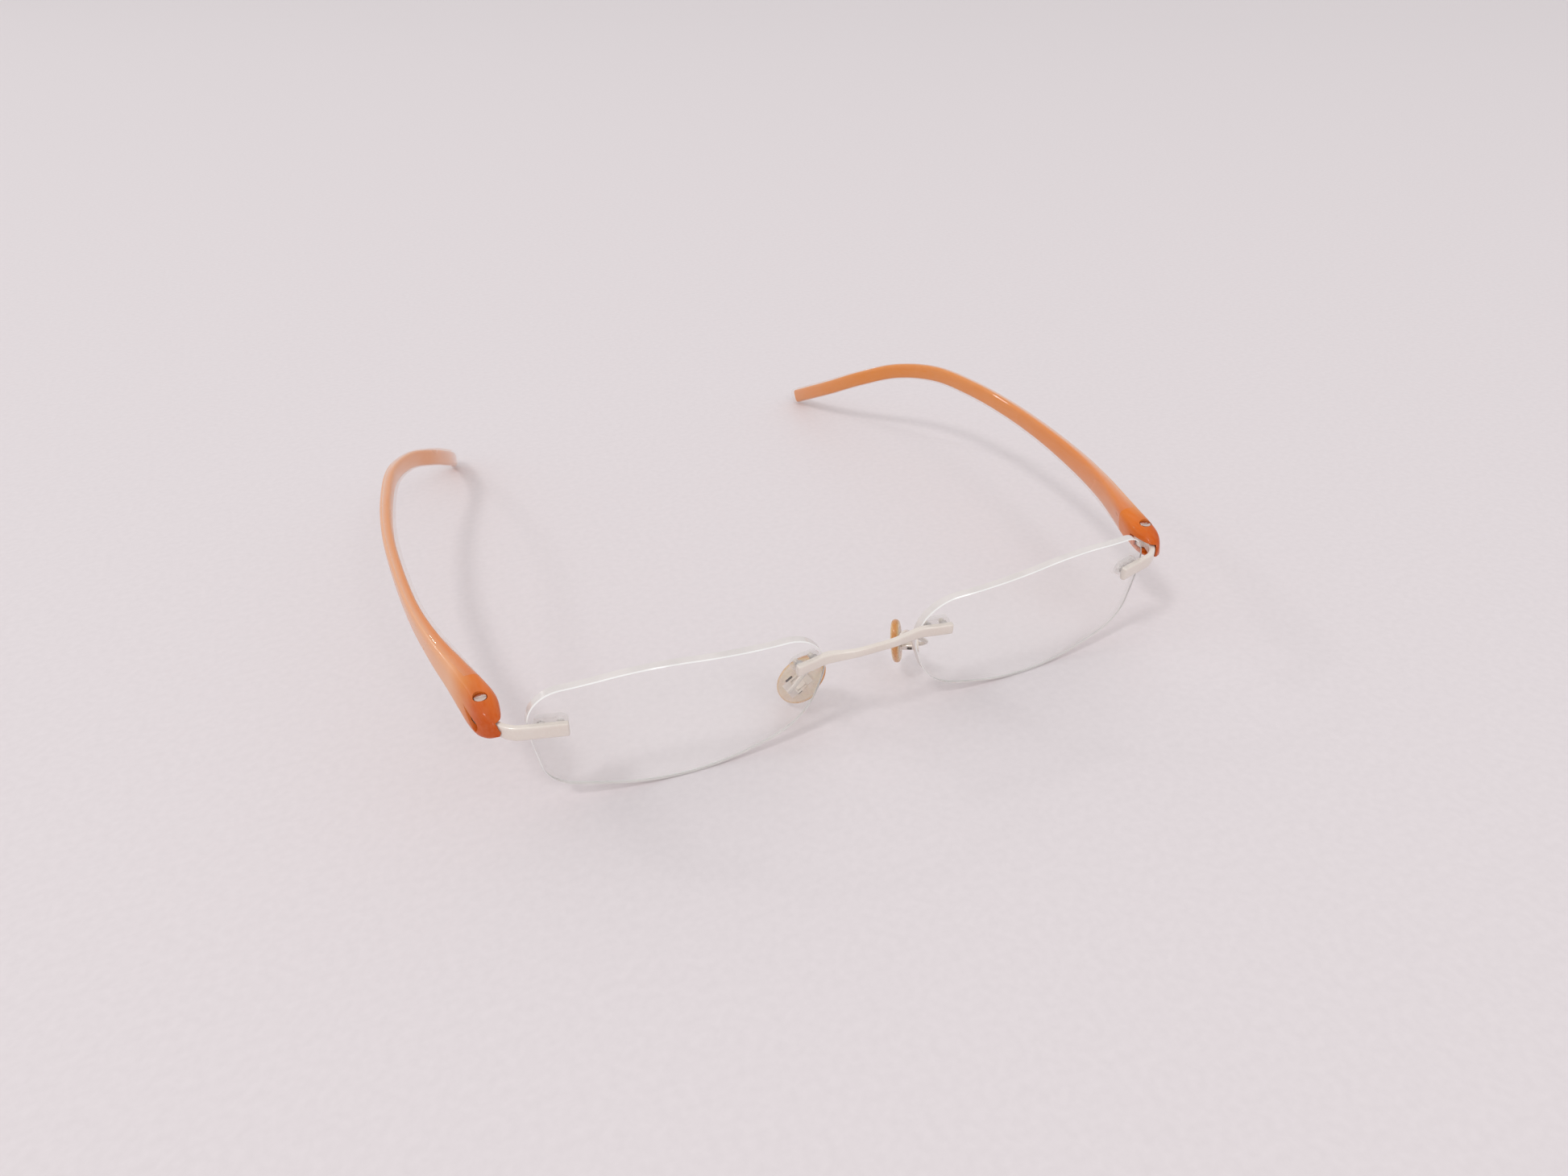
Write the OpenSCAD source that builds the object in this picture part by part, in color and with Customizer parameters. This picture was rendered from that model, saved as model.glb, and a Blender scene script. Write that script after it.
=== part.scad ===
// Rimless eyeglasses: two drilled lenses, a bridge and two endpieces on pegs and clear sleeves,
// moulded two-layer temples on screw hinges, and soft nose pads that rock on their boxes.
// +X is the wearer's left, +Y runs back along the temples, +Z is up. The origin is under the
// middle of the whole object, on the surface that it stands on. All sizes are in millimetres.

/* [Lenses] */
// Width of one lens
lens_w = 51.4; // [49:0.2:53]
// Height of one lens
lens_h = 25.9; // [25:0.1:28]
// Thickness of a lens
lens_t = 1.6; // [1.4:0.1:2]
// Gap between the two lenses at the nose
nose_gap = 18; // [17:0.5:19]
// Radius of the front surface of a lens
lens_front_r = 106; // [96:1:130]
// Forward lean of the top of a lens, in degrees
lens_lean = 6; // [4:0.5:8]
// Backward turn of the temple side of a lens, in degrees
lens_wrap = 2.5; // [1:0.5:4]

/* [Rimless mounting] */
// Diameter of a mounting peg
peg_d = 0.9; // [0.8:0.05:1]
// Outside diameter of a sleeve tube
sleeve_d = 1.48; // [1.4:0.02:1.6]
// Distance between the two pegs of a pair
peg_pitch = 3; // [2.6:0.1:3.2]
// Height of the clear web that joins two sleeve tubes behind the lens
web_h = 2.7; // [2.4:0.1:3]
// Thickness of that web
web_t = 0.8; // [0.6:0.1:1]

/* [Bridge and endpieces] */
// Thickness of the bridge and endpiece bars, front to back
bar_t = 1.2; // [1:0.1:1.4]
// Height of the bridge where it lies on a lens
bridge_h = 2.1; // [2:0.1:2.6]
// Height of the bridge at its middle
bridge_mid_h = 1.5; // [1.4:0.1:1.8]
// Height of an endpiece where it lies on a lens
endpiece_h = 2.7; // [2.4:0.1:2.8]
// Height of the tongue at the hinge end of an endpiece
tongue_h = 2.1; // [1.9:0.1:2.2]

/* [Hinges] */
// Distance of a hinge axis from the middle of the frame
hinge_x = 65.9; // [65.5:0.1:66.5]
// Radius of the eye at the end of the tongue
eye_r = 1.85; // [1.7:0.05:1.9]
// Diameter of the hinge screw's shank
screw_d = 1.2; // [1.1:0.05:1.3]
// Diameter of the hinge screw's head
screw_head_d = 2; // [1.8:0.1:2.2]
// Radial clearance between the tongue's hole and the screw
running_gap = 0.03; // [0.02:0.01:0.05]
// Thickness of a hinge washer
washer_t = 0.2; // [0.15:0.05:0.25]

/* [Temples] */
// Gap round the screw head in its counterbore
counterbore_gap = 0.16; // [0.1:0.02:0.2]
// Greatest thickness of the clear layer on a temple
liner_t = 0.8; // [0.6:0.1:1]
// Length of the clear end beyond the coloured core
clear_tip = 1.1; // [0.8:0.1:1.4]

/* [Nose pads] */
// Length of a nose pad
pad_l = 13.8; // [13:0.2:14.6]
// Width of a nose pad
pad_w = 7.2; // [6.8:0.1:7.6]
// Thickness of a nose pad
pad_t = 1.5; // [1.4:0.1:2]
// Forward lean of the top of a pad, in degrees
pad_lean = 37.7; // [30:0.1:42]
// Turn of a pad towards the face, in degrees
pad_splay = 32.6; // [28:0.1:36]
// Diameter of a pad arm's wire
arm_d = 0.8; // [0.7:0.05:0.9]

/* [Hidden] */

// Which half of the frame a piece belongs to
RIGHT = -1;
LEFT = 1;

// Small cylinders and the two lens surfaces
FINE = 48;
LENS_FN = 240;

// Where y is 0 in the layout below: the nose edge of the lens fronts, seen from the origin
front_y = -70.25;

// Lens outline as an eight-cornered figure: [across, up, rounding radius], from the middle of the
// lens, with the temple side to the right. It gives an outline of outline_w by outline_h.
outline_w = 51.42;
outline_h = 25.93;
OUTLINE_CORNERS = [
    [26, 10.7, 6.7], [6, 13.5, 55], [-24.4, 9.7, 8.7], [-26.05, 1.5, 7.2],
    [-22.4, -9.5, 11.7], [0, -14.2, 56], [23.5, -8.9, 6.6], [25.4, 2.1, 45]
];
ARC_STEPS = 9;

// Middle of a pair of pegs on the lens: [across, up] from the middle of the lens
bridge_peg_at = [-22.2, 4.5];
end_peg_at = [22, 4.5];
// Gaps between a bar and the lens front, a web and the lens back, and a round piece and its hole
seat_gap = 0.03;
web_gap = 0.08;
fit_gap = 0.01;

// Bridge between the lenses: [x, y, z] of the bar's middle line from the centre outwards, and how
// far its height has grown there, from 0 in the middle to 1 on a lens
BRIDGE_MID = [[0, -1.6, 17.45, 0], [3.5, -1.5, 17.4, 0.1], [6.6, -1, 17.35, 0.55]];

// Endpiece between the lens and the hinge: [x, y, z] of the bar's middle line, half its height
// there, and its lean in degrees
ENDPIECE_BEND = [[62.2, 2, 17.5, 1.35, 3], [64, 3.4, 17.7, 1.25, 1], [65.1, 5.2, 17.9, 1.1, 0]];

// Hinge
hinge_y = 8.35;
tongue_z = 18;
hinge_play = 0.03;
slot_h = tongue_h + 2*(washer_t + hinge_play);
head_top_z = 21.55;
head_bottom_z = 15.45;
counterbore_depth = 0.8;
screw_head_t = 0.55;
washer_r = 1.6;
nut_r = 1.15;
nut_t = 1.15;

// Temple stations from the front of the head to the end of the core:
// [x, y, z, half thickness, half height, lean], where a negative lean turns the outer wall up
TEMPLE = [
    [64.5, 2.7, 17.4, 0.25, 0.4, -14], [65.1, 4, 17.8, 1.15, 1.8, -14],
    [65.6, 6, 18.15, 1.95, 2.75, -14], [65.95, 9, 18.4, 2.35, 3.2, -14],
    [66.8, 13, 18.8, 2.2, 3.15, -12], [68.3, 19, 19.4, 1.75, 2.95, -8],
    [70.2, 27, 20, 1.35, 2.7, -4], [71.9, 38, 20.7, 1.15, 2.45, 0], [72.7, 52, 21.7, 1.1, 2.15, 0],
    [72.6, 66, 22.4, 1.1, 2, 0], [71.1, 80, 22.9, 1.1, 1.9, 0], [68.3, 93.5, 22.6, 1.05, 1.85, 0],
    [63.5, 105.5, 20, 1, 1.8, 0], [57.9, 115.6, 15.3, 1, 1.8, 0], [53.9, 125.3, 10, 1, 1.8, 0],
    [51.7, 134.3, 5.45, 1, 1.8, 0], [50.7, 141.3, 1.98, 1, 1.8, 0]
];
RING = 28;
TEMPLE_STEPS = 4;
SQUARENESS = 3.6;
// The clear layer starts at this station, and covers these points of each ring
liner_from = 4.25;
LINER_FIRST = 6;
LINER_LAST = LINER_FIRST + RING/2;

// Teardrop window in the outer wall of a temple's head: [y, z] of its round end and its point
window_round_at = [6.1, 17.75];
window_point_at = [10.3, 19.2];
window_r = 0.85;

// Nose pads: middle of each pad, and the boxes behind them
PAD_RIGHT = [10.25, 8, 7.7];
PAD_LEFT = [10.25, 9, 9];
pad_tilt = -3.8;
PAD_RING = 32;
PAD_LAYERS = 10;
pad_screw_d = 0.9;
pad_axis_back = 2.5;
box_in_w = 2;
box_wall = 0.4;
box_l = 2;
block_w = 1.9;

// ---- Vectors and curves ----

function unit(v) = v/norm(v);

function about_x(p, a) = [p[0], p[1]*cos(a) - p[2]*sin(a), p[1]*sin(a) + p[2]*cos(a)];

function about_y(p, a) = [p[0]*cos(a) + p[2]*sin(a), p[1], p[2]*cos(a) - p[0]*sin(a)];

function about_z(p, a) = [p[0]*cos(a) - p[1]*sin(a), p[0]*sin(a) + p[1]*cos(a), p[2]];

// Turn from angle 0 that is between -180 and 180 degrees
function short_turn(a) = a > 180 ? a - 360 : a < -180 ? a + 360 : a;

// Arc of radius r in the corner at, between its two neighbours
function corner_arc(before, at, after, r) =
    let (
        a = unit(before - at),
        b = unit(after - at),
        half = acos(a*b)/2,
        centre = at + unit(a + b)*r/sin(half),
        first = at + a*r/tan(half) - centre,
        last = at + b*r/tan(half) - centre,
        from = atan2(first[1], first[0]),
        turn = short_turn(atan2(last[1], last[0]) - from)
    )
    [for (i = [0:ARC_STEPS]) centre + r*[cos(from + turn*i/ARC_STEPS), sin(from + turn*i/ARC_STEPS)]];

function flat(corner) = [corner[0], corner[1]];

function rounded_figure(corners) =
    let (n = len(corners))
    [
        for (i = [0:n - 1])
        each corner_arc(flat(corners[(i + n - 1)%n]), flat(corners[i]),
                        flat(corners[(i + 1)%n]), corners[i][2])
    ];

// Point at parameter t on the smooth curve through the points, which passes point 1 at t = 1
function smooth(points, t) =
    let (
        n = len(points) - 1,
        i = min(floor(t), n - 1),
        f = t - i,
        p1 = points[i],
        p2 = points[i + 1],
        p0 = i > 0 ? points[i - 1] : 2*p1 - p2,
        p3 = i < n - 1 ? points[i + 2] : 2*p2 - p1
    )
    p1 + f*((p2 - p0) + f*((2*p0 - 5*p1 + 4*p2 - p3) + f*(3*p1 - p0 - 3*p2 + p3)))/2;

function place(p) = [p[0], p[1], p[2]];

// Direction of travel at t
function heading(points, t) =
    let (n = len(points) - 1, step = 0.02)
    unit(place(smooth(points, min(t + step, n))) - place(smooth(points, max(t - step, 0))));

// Point of a rounded rectangle (a superellipse) at angle a, for half sizes w and h
function rounded_point(a, w, h, power) =
    [w*sign(cos(a))*pow(abs(cos(a)), 2/power), h*sign(sin(a))*pow(abs(sin(a)), 2/power)];

// Solid through a list of rings of points, each ring with the same even number of points.
// Point k of an end ring faces point count - k across the end face. Each side face is split in two
// along one diagonal, or along the other if crossed, as on the inner face of a layer that lies on
// another loft: its points run the opposite way there, and both must be split alike.
module loft(rings, crossed = false) {
    count = len(rings[0]);
    last = len(rings) - 1;
    points = [for (ring = rings) each ring];
    sides = [
        for (r = [0:last - 1], i = [0:count - 1])
        let (a = r*count + i, b = r*count + (i + 1)%count)
        each crossed
            ? [[a, b, a + count], [b, b + count, a + count]]
            : [[a, b, b + count], [a, b + count, a + count]]
    ];
    ends = [
        for (k = [0:count/2 - 1])
        let (facing = (count - k)%count, next_facing = count - k - 1)
        each concat(
            k + 1 == next_facing ? [] : [[k, next_facing, k + 1]],
            k == facing ? [] : [[k, facing, next_facing]]
        )
    ];
    far_ends = [for (f = ends) [for (i = [2:-1:0]) last*count + f[i]]];
    polyhedron(points = points, faces = concat(ends, sides, far_ends), convexity = 6);
}

// Moves a piece from the layout, where y is 0 at the nose edge of the lenses, to its place,
// on the wearer's left or right
module on_side(side) {
    translate([0, front_y, 0])
        mirror([side < 0 ? 1 : 0, 0, 0])
            children();
}

// ---- Lenses ----

OUTLINE = [
    for (p = rounded_figure(OUTLINE_CORNERS)) [p[0]*lens_w/outline_w, p[1]*lens_h/outline_h]
];

function sag(p) = lens_front_r - sqrt(pow(lens_front_r, 2) - p[0]*p[0] - p[1]*p[1]);

// The front rim of the lens, turned as it is worn, before it is raised to stand on its lower edge
LENS_RIM = [for (p = OUTLINE) about_z(about_x([p[0], sag(p), p[1]], lens_lean), lens_wrap)];
LENS_AT = [
    nose_gap/2 - min([for (p = LENS_RIM) p[0]]),
    -1.72,
    -min([for (p = LENS_RIM) p[2]])
];

function from_lens(p) = LENS_AT + about_z(about_x(p, lens_lean), lens_wrap);

// Two angles that turn the front of the lens's sphere to the point at [across, up]
function front_angles(at) =
    let (up = asin(at[1]/lens_front_r))
    [-up, asin(at[0]/(lens_front_r*cos(up)))];

// A point given from the peg pair at [across, up]: x along the bar, y into the lens, z up
function from_pegs(at, p) =
    let (turn = front_angles(at))
    from_lens([0, lens_front_r, 0] + about_z(about_x(p - [0, lens_front_r, 0], turn[0]), turn[1]));

module in_lens() {
    translate(LENS_AT)
        rotate([lens_lean, 0, lens_wrap])
            children();
}

module in_pegs(at) {
    turn = front_angles(at);
    in_lens()
        translate([0, lens_front_r, 0])
            rotate([turn[0], 0, turn[1]])
                translate([0, -lens_front_r, 0])
                    children();
}

// The two places of a peg pair, with z along the pegs, towards the back of the lens
module each_peg() {
    for (x = [-peg_pitch/2, peg_pitch/2])
        translate([x, 0, 0])
            rotate([-90, 0, 0])
                children();
}

module lens_blank() {
    blank_depth = 14;
    intersection() {
        translate([0, 2, 0])
            rotate([90, 0, 0])
                linear_extrude(height = blank_depth, center = true)
                    polygon(OUTLINE);
        translate([0, lens_front_r, 0])
            difference() {
                sphere(r = lens_front_r, $fn = LENS_FN);
                sphere(r = lens_front_r - lens_t, $fn = LENS_FN);
            }
    }
}

module lens_holes(at) {
    over = 2;
    in_pegs(at)
        each_peg()
            translate([0, 0, -over])
                cylinder(r = sleeve_d/2 + fit_gap, h = lens_t + 2*over, $fn = FINE);
}

module lens(side) {
    color([0.93, 0.95, 0.93, 0.35])
        on_side(side)
            difference() {
                in_lens() lens_blank();
                lens_holes(bridge_peg_at);
                lens_holes(end_peg_at);
            }
}

// ---- Clear double sleeves ----

module sleeve(side, at) {
    back_y = lens_t + web_gap;
    color([0.95, 0.96, 0.97, 0.4])
        on_side(side)
            in_pegs(at)
                difference() {
                    union() {
                        each_peg() cylinder(r = sleeve_d/2, h = back_y + web_t, $fn = FINE);
                        each_peg()
                            translate([0, 0, back_y])
                                cylinder(r = web_h/2, h = web_t, $fn = FINE);
                        translate([-peg_pitch/2, back_y, -web_h/2])
                            cube([peg_pitch, web_t, web_h]);
                    }
                    each_peg()
                        translate([0, 0, -1])
                            cylinder(r = peg_d/2 + fit_gap, h = back_y + web_t + 2, $fn = FINE);
                }
}

// ---- Bridge and endpieces ----

module pegs(at) {
    peg_end = 0.35;
    in_pegs(at)
        each_peg()
            translate([0, 0, -seat_gap - bar_t/2])
                cylinder(r = peg_d/2, h = bar_t/2 + seat_gap + lens_t + web_gap + web_t + peg_end,
                         $fn = FINE);
}

// Middle line of a bar where it lies on the lens, x along from the middle of its pegs
function bar_at(at, x) = from_pegs(at, [x, -seat_gap - bar_t/2, 0]);

// Forward lean of the lens front at a pair of pegs, in degrees
function lean_at(at) = -asin((from_pegs(at, [0, 0, 1]) - from_pegs(at, [0, 0, 0]))[1]);

// Ring across a bar. A station is [x, y, z, half thickness, half height, lean].
function bar_ring(station, ahead, power, count) =
    let (
        side = unit(cross(ahead, [0, 0, 1])),
        rise = cross(side, ahead),
        lean = station[5],
        across = side*cos(lean) - rise*sin(lean),
        up = rise*cos(lean) + side*sin(lean)
    )
    [
        for (i = [0:count - 1])
        let (p = rounded_point(360*i/count, station[3], station[4], power))
        place(station) + across*p[0] + up*p[1]
    ];

function with_sizes(p, half_t, half_h, lean = 0) = [p[0], p[1], p[2], half_t, half_h, lean];

BAR_POINTS = 20;
BAR_POWER = 4.5;
BAR_STEPS = 4;

module bar(stations) {
    count = (len(stations) - 1)*BAR_STEPS;
    loft([
        for (i = [0:count])
        bar_ring(smooth(stations, i/BAR_STEPS), heading(stations, i/BAR_STEPS), BAR_POWER, BAR_POINTS)
    ]);
}

function mirrored(s) = [-s[0], s[1], s[2], s[3], s[4], s[5]];

// Stations of a bar where it lies on the lens. A trim makes it smaller all round, at its end.
function seat(at, xs, h, trim = 0) =
    [for (x = xs) with_sizes(bar_at(at, x), bar_t/2 - trim, h/2 - trim, lean_at(at))];

// Half of the bridge, from the middle of the frame outwards
BRIDGE_HALF = concat(
    [
        for (s = BRIDGE_MID)
        let (half_h = (bridge_mid_h + s[3]*(bridge_h - bridge_mid_h))/2)
        with_sizes(s, bar_t*0.45, half_h, s[3]*lean_at(bridge_peg_at))
    ],
    seat(bridge_peg_at, [-3.1, -1, 1, 2.4], bridge_h),
    seat(bridge_peg_at, [2.65], bridge_h, 0.12),
    seat(bridge_peg_at, [2.8], bridge_h, 0.35)
);

module bridge() {
    last = len(BRIDGE_HALF) - 1;
    color([0.93, 0.91, 0.87]) {
        translate([0, front_y, 0])
            bar(concat([for (i = [last:-1:1]) mirrored(BRIDGE_HALF[i])], BRIDGE_HALF));
        for (side = [RIGHT, LEFT])
            on_side(side) pegs(bridge_peg_at);
    }
}

ENDPIECE = concat(
    seat(end_peg_at, [-2.95], endpiece_h, 0.35),
    seat(end_peg_at, [-2.8], endpiece_h, 0.12),
    seat(end_peg_at, [-2.5, -0.9, 0.9, 2.9], endpiece_h),
    [for (s = ENDPIECE_BEND) with_sizes(s, bar_t/2, s[3], s[4])],
    [[hinge_x - 0.25, hinge_y - 0.7, tongue_z, bar_t/2, tongue_h/2, 0]]
);

module endpiece(side) {
    color([0.93, 0.91, 0.87])
        on_side(side)
            difference() {
                union() {
                    bar(ENDPIECE);
                    pegs(end_peg_at);
                    translate([hinge_x, hinge_y, tongue_z - tongue_h/2])
                        cylinder(r = eye_r, h = tongue_h, $fn = FINE);
                }
                translate([hinge_x, hinge_y, tongue_z - tongue_h])
                    cylinder(r = screw_d/2 + running_gap, h = 2*tongue_h, $fn = FINE);
            }
}

// ---- Hinges ----

module in_hinge() {
    translate([hinge_x, hinge_y, 0])
        children();
}

module hinge_screw(side) {
    seat_z = head_top_z - counterbore_depth;
    slot_w = 0.35;
    slot_depth = 0.3;
    color([0.86, 0.78, 0.74])
        on_side(side)
            in_hinge()
                difference() {
                    union() {
                        translate([0, 0, seat_z])
                            cylinder(r = screw_head_d/2, h = screw_head_t, $fn = FINE);
                        translate([0, 0, head_bottom_z + 0.15])
                            cylinder(r = screw_d/2, h = seat_z - head_bottom_z, $fn = FINE);
                    }
                    translate([-screw_head_d, -slot_w/2, seat_z + screw_head_t - slot_depth])
                        cube([2*screw_head_d, slot_w, 1]);
                }
}

module hinge_nut(side) {
    color([0.72, 0.7, 0.68])
        on_side(side)
            in_hinge()
                translate([0, 0, head_bottom_z + 0.05])
                    difference() {
                        cylinder(r = nut_r, h = nut_t, $fn = FINE);
                        translate([0, 0, -1])
                            cylinder(r = screw_d/2 + fit_gap, h = nut_t + 2, $fn = FINE);
                    }
}

module hinge_washers(side) {
    color([0.8, 0.8, 0.8])
        on_side(side)
            in_hinge()
                for (z = [tongue_z - slot_h/2, tongue_z + slot_h/2 - washer_t])
                    translate([0, 0, z])
                        difference() {
                            cylinder(r = washer_r, h = washer_t, $fn = FINE);
                            translate([0, 0, -1])
                                cylinder(r = screw_d/2 + fit_gap, h = washer_t + 2, $fn = FINE);
                        }
}

// ---- Temples ----

// A ring of the core at parameter t
function core_ring(t) = bar_ring(smooth(TEMPLE, t), heading(TEMPLE, t), SQUARENESS, RING);

// The same ring grown by the clear layer, which is thickest on the inner side
function grown_ring(t) =
    let (
        station = smooth(TEMPLE, t),
        core = core_ring(t),
        span = LINER_LAST - LINER_FIRST,
        fade = min(1, (t - liner_from)/1.5)
    )
    [
        for (i = [0:RING - 1])
        let (
            k = (i - LINER_FIRST)/span,
            inside = k > 0 && k < 1,
            grow = inside ? (0.05 + (liner_t - 0.05)*fade)*pow(sin(180*k), 0.8) : 0
        )
        core[i] + unit(core[i] - place(station))*grow
    ];

// Room for the eye and the tongue, and for the taller bar in front of them. It is open from
// straight ahead round to the inner side, where the bar lies when the temple is folded.
module tongue_room() {
    gap = 0.15;
    reach = 12;
    bar_room_r = eye_r + 0.55;
    bar_room_h = endpiece_h + 0.3;
    back_y = hinge_y + bar_t/2 + 0.6;
    outer = [
        for (i = [3:len(ENDPIECE) - 1])
        let (out = unit(cross(heading(ENDPIECE, i), [0, 0, 1])))
        flat(place(ENDPIECE[i]) + out*(bar_t/2 + gap))
    ];
    quadrant = concat(
        [[hinge_x - reach, hinge_y - reach]],
        outer,
        [[hinge_x + 0.3, back_y], [hinge_x - reach, back_y]]
    );
    translate([0, 0, tongue_z - slot_h/2])
        linear_extrude(height = slot_h)
            union() {
                translate([hinge_x, hinge_y]) circle(r = eye_r + gap, $fn = FINE);
                polygon(quadrant);
            }
    translate([0, 0, ENDPIECE_BEND[1][2] - bar_room_h/2])
        linear_extrude(height = bar_room_h)
            difference() {
                polygon(quadrant);
                translate([hinge_x, hinge_y]) circle(r = bar_room_r, $fn = FINE);
            }
}

// Teardrop outline from a round end to a point
function teardrop(round_at, point_at, r) =
    let (
        d = norm(point_at - round_at),
        facing = atan2(point_at[1] - round_at[1], point_at[0] - round_at[0]),
        open = acos(r/d),
        steps = 16
    )
    concat(
        [point_at],
        [for (i = [0:steps])
         let (a = facing + open + (360 - 2*open)*i/steps) round_at + r*[cos(a), sin(a)]]
    );

module temple(side) {
    last = (len(TEMPLE) - 1)*TEMPLE_STEPS;
    color([0.86, 0.5, 0.27])
        on_side(side)
            difference() {
                loft([for (i = [0:last]) core_ring(i/TEMPLE_STEPS)]);
                tongue_room();
                in_hinge() {
                    translate([0, 0, head_top_z - counterbore_depth])
                        cylinder(r = screw_head_d/2 + counterbore_gap, h = 3, $fn = FINE);
                    cylinder(r = screw_d/2 + fit_gap, h = 30, $fn = FINE);
                    cylinder(r = nut_r + fit_gap, h = head_bottom_z + 0.05 + nut_t, $fn = FINE);
                }
                translate([hinge_x - 0.2, 0, 0])
                    rotate([90, 0, 90])
                        linear_extrude(height = 5)
                            polygon(teardrop(window_round_at, window_point_at, window_r));
            }
}

module temple_liner(side) {
    first = ceil(liner_from*TEMPLE_STEPS);
    end = len(TEMPLE) - 1;
    ahead = heading(TEMPLE, end);
    centre = place(TEMPLE[end]);
    end_ring = grown_ring(end);
    // [share of the clear end, size of the ring there]
    end_rings = [[0.02, 1], [0.55, 1], [0.85, 0.9], [1, 0.7]];
    color([0.94, 0.93, 0.92, 0.5])
        on_side(side)
            loft(concat(
                [
                    for (i = [first:end*TEMPLE_STEPS])
                    let (core = core_ring(i/TEMPLE_STEPS), grown = grown_ring(i/TEMPLE_STEPS))
                    concat(
                        [for (k = [LINER_FIRST:LINER_LAST]) grown[k]],
                        [for (k = [LINER_LAST - 1:-1:LINER_FIRST + 1]) core[k]]
                    )
                ],
                [
                    for (s = end_rings)
                    [
                        for (k = [LINER_FIRST:LINER_FIRST + RING - 1])
                        centre + (end_ring[k%RING] - centre)*s[1] + ahead*clear_tip*s[0]
                    ]
                ]
            ), crossed = true);
}

// ---- Nose pads ----

function pad_middle(side) = side < 0 ? PAD_RIGHT : PAD_LEFT;

// In a pad's own frame x points away from the nose, y across the pad and z along it
function from_pad(side, p) =
    pad_middle(side) + about_z(about_y(about_x(p, pad_lean), pad_tilt), -pad_splay);

module in_pad(side) {
    on_side(side)
        translate(pad_middle(side))
            rotate([pad_lean, pad_tilt, -pad_splay])
                children();
}

// The axis that a pad rocks on, with z along the screw
module on_pad_axis() {
    translate([pad_axis_back, 0, 0])
        rotate([-90, 0, 0])
            children();
}

insert_plate = [0.6, 2.6, 5.2];

module pad_insert(side) {
    color([0.62, 0.62, 0.62])
        in_pad(side)
            difference() {
                union() {
                    translate([pad_t/2 - insert_plate[0], -insert_plate[1]/2, -insert_plate[2]/2])
                        cube(insert_plate);
                    translate([pad_t/2 - 0.2, -block_w/2, -box_l/2 + 0.2])
                        cube([pad_axis_back - pad_t/2 + 0.2, block_w, box_l - 0.4]);
                    on_pad_axis() cylinder(r = box_l/2 - 0.2, h = block_w, center = true, $fn = FINE);
                }
                on_pad_axis()
                    cylinder(r = pad_screw_d/2 + running_gap, h = 2*block_w, center = true, $fn = FINE);
            }
}

module nose_pad(side) {
    color([0.88, 0.8, 0.68, 0.6])
        in_pad(side)
            difference() {
                loft([
                    for (k = [0:PAD_LAYERS])
                    let (
                        a = -80 + 160*k/PAD_LAYERS,
                        x = pad_t/2*sin(a)/sin(80),
                        shrink = pad_t/2*(1 - cos(a))*1.05
                    )
                    [
                        for (i = [0:PAD_RING - 1])
                        let (p = rounded_point(-360*i/PAD_RING, pad_w/2 - shrink, pad_l/2 - shrink, 2.15))
                        [-x, p[0], p[1]]
                    ]
                ]);
                translate([pad_t/2 - insert_plate[0] - fit_gap, -insert_plate[1]/2 - fit_gap,
                           -insert_plate[2]/2 - fit_gap])
                    cube([2, insert_plate[1] + 2*fit_gap, insert_plate[2] + 2*fit_gap]);
            }
}

module pad_box(side) {
    outer_w = box_in_w + 2*box_wall;
    back_x = pad_axis_back + 1.1;
    color([0.45, 0.45, 0.46])
        in_pad(side)
            difference() {
                translate([pad_t/2 + 0.35, -outer_w/2, -box_l/2])
                    cube([back_x + box_wall - pad_t/2 - 0.35, outer_w, box_l]);
                translate([0, -box_in_w/2, -box_l])
                    cube([back_x, box_in_w, 2*box_l]);
                on_pad_axis()
                    cylinder(r = pad_screw_d/2 + fit_gap, h = 2*outer_w, center = true, $fn = FINE);
            }
}

module pad_screw(side) {
    outer_w = box_in_w + 2*box_wall;
    head_t = 0.35;
    head_r = 0.75;
    color([0.4, 0.4, 0.41])
        in_pad(side)
            on_pad_axis()
                difference() {
                    union() {
                        cylinder(r = pad_screw_d/2, h = outer_w + 0.3, center = true, $fn = FINE);
                        translate([0, 0, outer_w/2 + fit_gap])
                            cylinder(r = head_r, h = head_t, $fn = FINE);
                    }
                    translate([-head_r, -0.1, outer_w/2 + head_t - 0.15])
                        cube([2*head_r, 0.2, 1]);
                }
}

ARM_POINTS = 10;
ARM_STEPS = 5;

module pad_arm(side) {
    end_x = pad_axis_back + 1.1 + box_wall;
    route = [
        for (p = [
            [5.7, -0.4, 17.1], [6.2, 0.5, 17], [8, 2, 16.2], [9.8, 3.8, 14.3],
            from_pad(side, [end_x + 1.3, 0, 1.9]), from_pad(side, [end_x + 0.75, 0, 0.35]),
            from_pad(side, [end_x + 0.03, 0, 0])
        ])
        with_sizes(p, arm_d/2, arm_d/2)
    ];
    count = (len(route) - 1)*ARM_STEPS;
    color([0.55, 0.55, 0.56])
        on_side(side)
            loft([
                for (i = [0:count])
                bar_ring(smooth(route, i/ARM_STEPS), heading(route, i/ARM_STEPS), 2, ARM_POINTS)
            ]);
}

// ---- The pieces ----

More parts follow.
